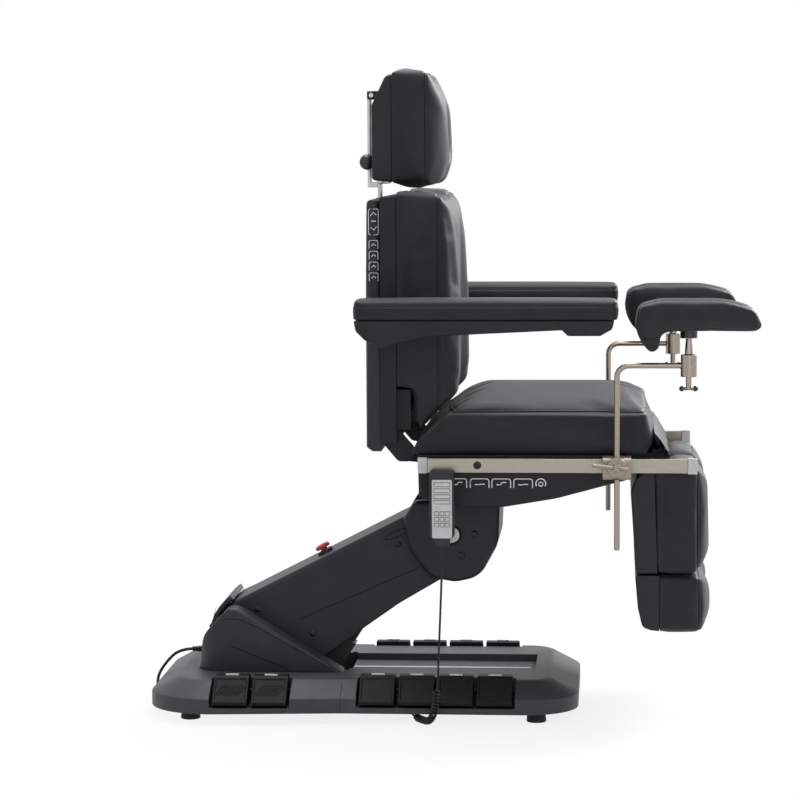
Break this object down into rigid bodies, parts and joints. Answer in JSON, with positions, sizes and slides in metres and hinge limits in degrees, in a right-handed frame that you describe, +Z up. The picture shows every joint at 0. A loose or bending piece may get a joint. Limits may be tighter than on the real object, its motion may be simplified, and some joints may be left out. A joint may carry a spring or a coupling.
{
  "type": "examination table",
  "caption": "Upholstered electric examination chair-table with lifting arm base, reclining back, armrests, headrest, split leg rests, side rails, stirrups and foot pedals.",
  "frame": {"origin": "on the floor under the middle of the overall length and width, cords left out", "axes": "+X towards the foot end, +Y to the far side in the picture, +Z up"},
  "size_m": [1.3581, 0.9155, 1.4118],
  "materials": {
    "base_plastic": "satin",
    "tower_plastic": "satin",
    "frame_steel": "satin",
    "rubber_feet": "matte",
    "cord_black": "satin",
    "arm_casting": "satin",
    "bright_pivot": "polished",
    "stop_red": "gloss",
    "actuator_plastic": "satin",
    "rod_chrome": "polished",
    "grey_plastic": "satin",
    "dark_plastic": "satin",
    "upholstery": "satin",
    "pad_foam": "satin",
    "rail_steel": "satin",
    "clamp_metal": "satin",
    "handset_plastic": "satin",
    "pedal_black": "satin"
  },
  "bodies": {
    "base": {"base_shell": "base_plastic", "base_frame": "frame_steel", "base_feet": "rubber_feet", "tower_cover": "tower_plastic", "mains_gland": "cord_black", "mains_cord": "cord_black", "mains_coil": "cord_black", "mains_plug": "cord_black", "handset_cord": "cord_black"},
    "arm": {"lift_arm": "arm_casting", "pivot_shafts": "bright_pivot"},
    "estop": {"estop_button": "stop_red"},
    "actuator": {"lift_actuator": "actuator_plastic"},
    "actuator_rod": {"lift_actuator_rod": "rod_chrome"},
    "head": {"head_housing": "arm_casting"},
    "seat": {"seat_frame": "frame_steel", "seat_undercover": "grey_plastic", "seat_cushion": "upholstery", "side_rails": "rail_steel", "handset": "handset_plastic"},
    "back": {"back_shell": "grey_plastic", "back_frame": "dark_plastic", "back_cushion": "upholstery"},
    "headrest_post": {"headrest_bracket": "rail_steel"},
    "headrest_knob": {"headrest_knob": "dark_plastic"},
    "headrest": {"headrest_shell": "grey_plastic", "headrest_cushion": "upholstery"},
    "legs": {"leg_frame": "frame_steel", "leg_shells": "grey_plastic", "leg_cushions": "upholstery"},
    "armrest_near": {"armrest_shell_near": "dark_plastic", "armrest_pad_near": "upholstery"},
    "foot_near": {"foot_shell_near": "grey_plastic", "foot_cushion_near": "upholstery"},
    "clamp_near": {"clamp_near": "clamp_metal"},
    "clamp_handle_near": {"clamp_handle_near": "clamp_metal"},
    "stirrup_rod_near": {"stirrup_rod_near": "rod_chrome"},
    "stirrup_near": {"spindle_near": "rod_chrome", "stirrup_pad_near": "pad_foam"},
    "armrest_far": {"armrest_shell_far": "dark_plastic", "armrest_pad_far": "upholstery"},
    "foot_far": {"foot_shell_far": "grey_plastic", "foot_cushion_far": "upholstery"},
    "clamp_far": {"clamp_far": "clamp_metal"},
    "clamp_handle_far": {"clamp_handle_far": "clamp_metal"},
    "stirrup_rod_far": {"stirrup_rod_far": "rod_chrome"},
    "stirrup_far": {"spindle_far": "rod_chrome", "stirrup_pad_far": "pad_foam"},
    "pedal_near_rear_1": {"pedal_near_rear_1": "pedal_black"},
    "pedal_near_rear_2": {"pedal_near_rear_2": "pedal_black"},
    "pedal_near_front_1": {"pedal_near_front_1": "pedal_black"},
    "pedal_near_front_2": {"pedal_near_front_2": "pedal_black"},
    "pedal_near_front_3": {"pedal_near_front_3": "pedal_black"},
    "pedal_near_front_4": {"pedal_near_front_4": "pedal_black"},
    "pedal_far_rear_1": {"pedal_far_rear_1": "pedal_black"},
    "pedal_far_rear_2": {"pedal_far_rear_2": "pedal_black"},
    "pedal_far_front_1": {"pedal_far_front_1": "pedal_black"},
    "pedal_far_front_2": {"pedal_far_front_2": "pedal_black"},
    "pedal_far_front_3": {"pedal_far_front_3": "pedal_black"},
    "pedal_far_front_4": {"pedal_far_front_4": "pedal_black"}
  },
  "joints": [
    {"name": "lift", "type": "hinge", "parent": "base", "child": "arm", "pos_m": [-0.4275, 0, 0.152], "axis": [0, -1, 0], "range_deg": [-17, 21], "deforming": ["handset_cord"]},
    {"name": "head_level", "type": "hinge", "parent": "arm", "child": "head", "pos_m": [-0.0026, 0, 0.39201], "axis": [0, -1, 0], "range_deg": [-21, 17]},
    {"name": "seat_tilt", "type": "hinge", "parent": "head", "child": "seat", "pos_m": [0.0124, 0, 0.50501], "axis": [0, -1, 0], "range_deg": [0, 10]},
    {"name": "recline", "type": "hinge", "parent": "seat", "child": "back", "pos_m": [-0.0956, 0, 0.58201], "axis": [0, -1, 0], "range_deg": [0, 84]},
    {"name": "armrest_level_near", "type": "hinge", "parent": "back", "child": "armrest_near", "pos_m": [-0.1256, 0, 0.86001], "axis": [0, -1, 0], "range_deg": [-84, 0]},
    {"name": "armrest_level_far", "type": "hinge", "parent": "back", "child": "armrest_far", "pos_m": [-0.1256, 0, 0.86001], "axis": [0, -1, 0], "range_deg": [-84, 0]},
    {"name": "headrest_height", "type": "slide", "parent": "back", "child": "headrest_post", "axis": [0, 0, 1], "range_m": [0, 0.06]},
    {"name": "headrest_tilt", "type": "hinge", "parent": "headrest_post", "child": "headrest", "pos_m": [-0.1816, 0, 1.35501], "axis": [0, -1, 0], "range_deg": [0, 20]},
    {"name": "headrest_lock", "type": "hinge", "parent": "headrest_post", "child": "headrest_knob", "pos_m": [-0.1906, 0, 1.20801], "axis": [0, -1, 0], "range_deg": [-90, 90]},
    {"name": "legs_raise", "type": "hinge", "parent": "seat", "child": "legs", "pos_m": [0.4544, 0, 0.57401], "axis": [0, -1, 0], "range_deg": [0, 85]},
    {"name": "foot_slide_near", "type": "slide", "parent": "legs", "child": "foot_near", "axis": [0, 0, -1], "range_m": [0, 0.06]},
    {"name": "foot_slide_far", "type": "slide", "parent": "legs", "child": "foot_far", "axis": [0, 0, -1], "range_m": [0, 0.06]},
    {"name": "clamp_slide_near", "type": "slide", "parent": "seat", "child": "clamp_near", "axis": [1, 0, 0], "range_m": [-0.01, 0.11]},
    {"name": "clamp_screw_near", "type": "hinge", "parent": "clamp_near", "child": "clamp_handle_near", "pos_m": [0.3594, -0.335, 0.56701], "axis": [0, -1, 0], "range_deg": [-90, 90]},
    {"name": "stirrup_height_near", "type": "slide", "parent": "clamp_near", "child": "stirrup_rod_near", "axis": [0, 0, 1], "range_m": [-0.06, 0.05]},
    {"name": "stirrup_swivel_near", "type": "hinge", "parent": "stirrup_rod_near", "child": "stirrup_near", "pos_m": [0.5094, -0.335, 0.39201], "axis": [0, 0, 1], "range_deg": [-10, 10]},
    {"name": "clamp_slide_far", "type": "slide", "parent": "seat", "child": "clamp_far", "axis": [1, 0, 0], "range_m": [0, 0.12]},
    {"name": "clamp_screw_far", "type": "hinge", "parent": "clamp_far", "child": "clamp_handle_far", "pos_m": [0.3394, 0.335, 0.56701], "axis": [0, 1, 0], "range_deg": [-90, 90]},
    {"name": "stirrup_height_far", "type": "slide", "parent": "clamp_far", "child": "stirrup_rod_far", "axis": [0, 0, 1], "range_m": [-0.06, 0.05]},
    {"name": "stirrup_swivel_far", "type": "hinge", "parent": "stirrup_rod_far", "child": "stirrup_far", "pos_m": [0.4894, 0.335, 0.39201], "axis": [0, 0, 1], "range_deg": [-10, 10]},
    {"name": "estop_press", "type": "slide", "parent": "arm", "child": "estop", "axis": [0.4918, 0, -0.8707], "range_m": [0, 0.004], "stiffness_N_per_m": 2500, "springref_m": -0.001},
    {"name": "press_pedal_near_rear_1", "type": "hinge", "parent": "base", "child": "pedal_near_rear_1", "pos_m": [-0.475, -0.229, 0.062], "axis": [1, 0, 0], "range_deg": [0, 4], "stiffness_Nm_per_rad": 60, "springref_deg": -1.15},
    {"name": "press_pedal_near_rear_2", "type": "hinge", "parent": "base", "child": "pedal_near_rear_2", "pos_m": [-0.39, -0.229, 0.062], "axis": [1, 0, 0], "range_deg": [0, 4], "stiffness_Nm_per_rad": 60, "springref_deg": -1.15},
    {"name": "press_pedal_near_front_1", "type": "hinge", "parent": "base", "child": "pedal_near_front_1", "pos_m": [-0.158, -0.21, 0.062], "axis": [1, 0, 0], "range_deg": [0, 4], "stiffness_Nm_per_rad": 60, "springref_deg": -1.15},
    {"name": "press_pedal_near_front_2", "type": "hinge", "parent": "base", "child": "pedal_near_front_2", "pos_m": [-0.073, -0.21, 0.062], "axis": [1, 0, 0], "range_deg": [0, 4], "stiffness_Nm_per_rad": 60, "springref_deg": -1.15},
    {"name": "press_pedal_near_front_3", "type": "hinge", "parent": "base", "child": "pedal_near_front_3", "pos_m": [0.012, -0.21, 0.062], "axis": [1, 0, 0], "range_deg": [0, 4], "stiffness_Nm_per_rad": 60, "springref_deg": -1.15},
    {"name": "press_pedal_near_front_4", "type": "hinge", "parent": "base", "child": "pedal_near_front_4", "pos_m": [0.097, -0.21, 0.062], "axis": [1, 0, 0], "range_deg": [0, 4], "stiffness_Nm_per_rad": 60, "springref_deg": -1.15},
    {"name": "press_pedal_far_rear_1", "type": "hinge", "parent": "base", "child": "pedal_far_rear_1", "pos_m": [-0.475, 0.229, 0.062], "axis": [-1, 0, 0], "range_deg": [0, 4], "stiffness_Nm_per_rad": 60, "springref_deg": -1.15},
    {"name": "press_pedal_far_rear_2", "type": "hinge", "parent": "base", "child": "pedal_far_rear_2", "pos_m": [-0.39, 0.229, 0.062], "axis": [-1, 0, 0], "range_deg": [0, 4], "stiffness_Nm_per_rad": 60, "springref_deg": -1.15},
    {"name": "press_pedal_far_front_1", "type": "hinge", "parent": "base", "child": "pedal_far_front_1", "pos_m": [-0.158, 0.21, 0.062], "axis": [-1, 0, 0], "range_deg": [0, 4], "stiffness_Nm_per_rad": 60, "springref_deg": -1.15},
    {"name": "press_pedal_far_front_2", "type": "hinge", "parent": "base", "child": "pedal_far_front_2", "pos_m": [-0.073, 0.21, 0.062], "axis": [-1, 0, 0], "range_deg": [0, 4], "stiffness_Nm_per_rad": 60, "springref_deg": -1.15},
    {"name": "press_pedal_far_front_3", "type": "hinge", "parent": "base", "child": "pedal_far_front_3", "pos_m": [0.012, 0.21, 0.062], "axis": [-1, 0, 0], "range_deg": [0, 4], "stiffness_Nm_per_rad": 60, "springref_deg": -1.15},
    {"name": "press_pedal_far_front_4", "type": "hinge", "parent": "base", "child": "pedal_far_front_4", "pos_m": [0.097, 0.21, 0.062], "axis": [-1, 0, 0], "range_deg": [0, 4], "stiffness_Nm_per_rad": 60, "springref_deg": -1.15},
    {"name": "actuator_swing", "type": "hinge", "parent": "base", "child": "actuator", "pos_m": [-0.2975, 0, 0.06], "axis": [0, -1, 0], "range_deg": [-22, 26]},
    {"name": "actuator_stroke", "type": "slide", "parent": "actuator", "child": "actuator_rod", "axis": [0.5419, 0, 0.8405], "range_m": [-0.052, 0.062]}
  ],
  "couplings": [
    {"joint": "head_level", "follows": "lift", "ratio": -1},
    {"joint": "armrest_level_near", "follows": "recline", "ratio": -1},
    {"joint": "armrest_level_far", "follows": "recline", "ratio": -1},
    {"joint": "actuator_swing", "follows": "lift", "ratio": 0.9654},
    {"joint": "actuator_stroke", "follows": "lift", "m_per_rad": 0.157}
  ]
}
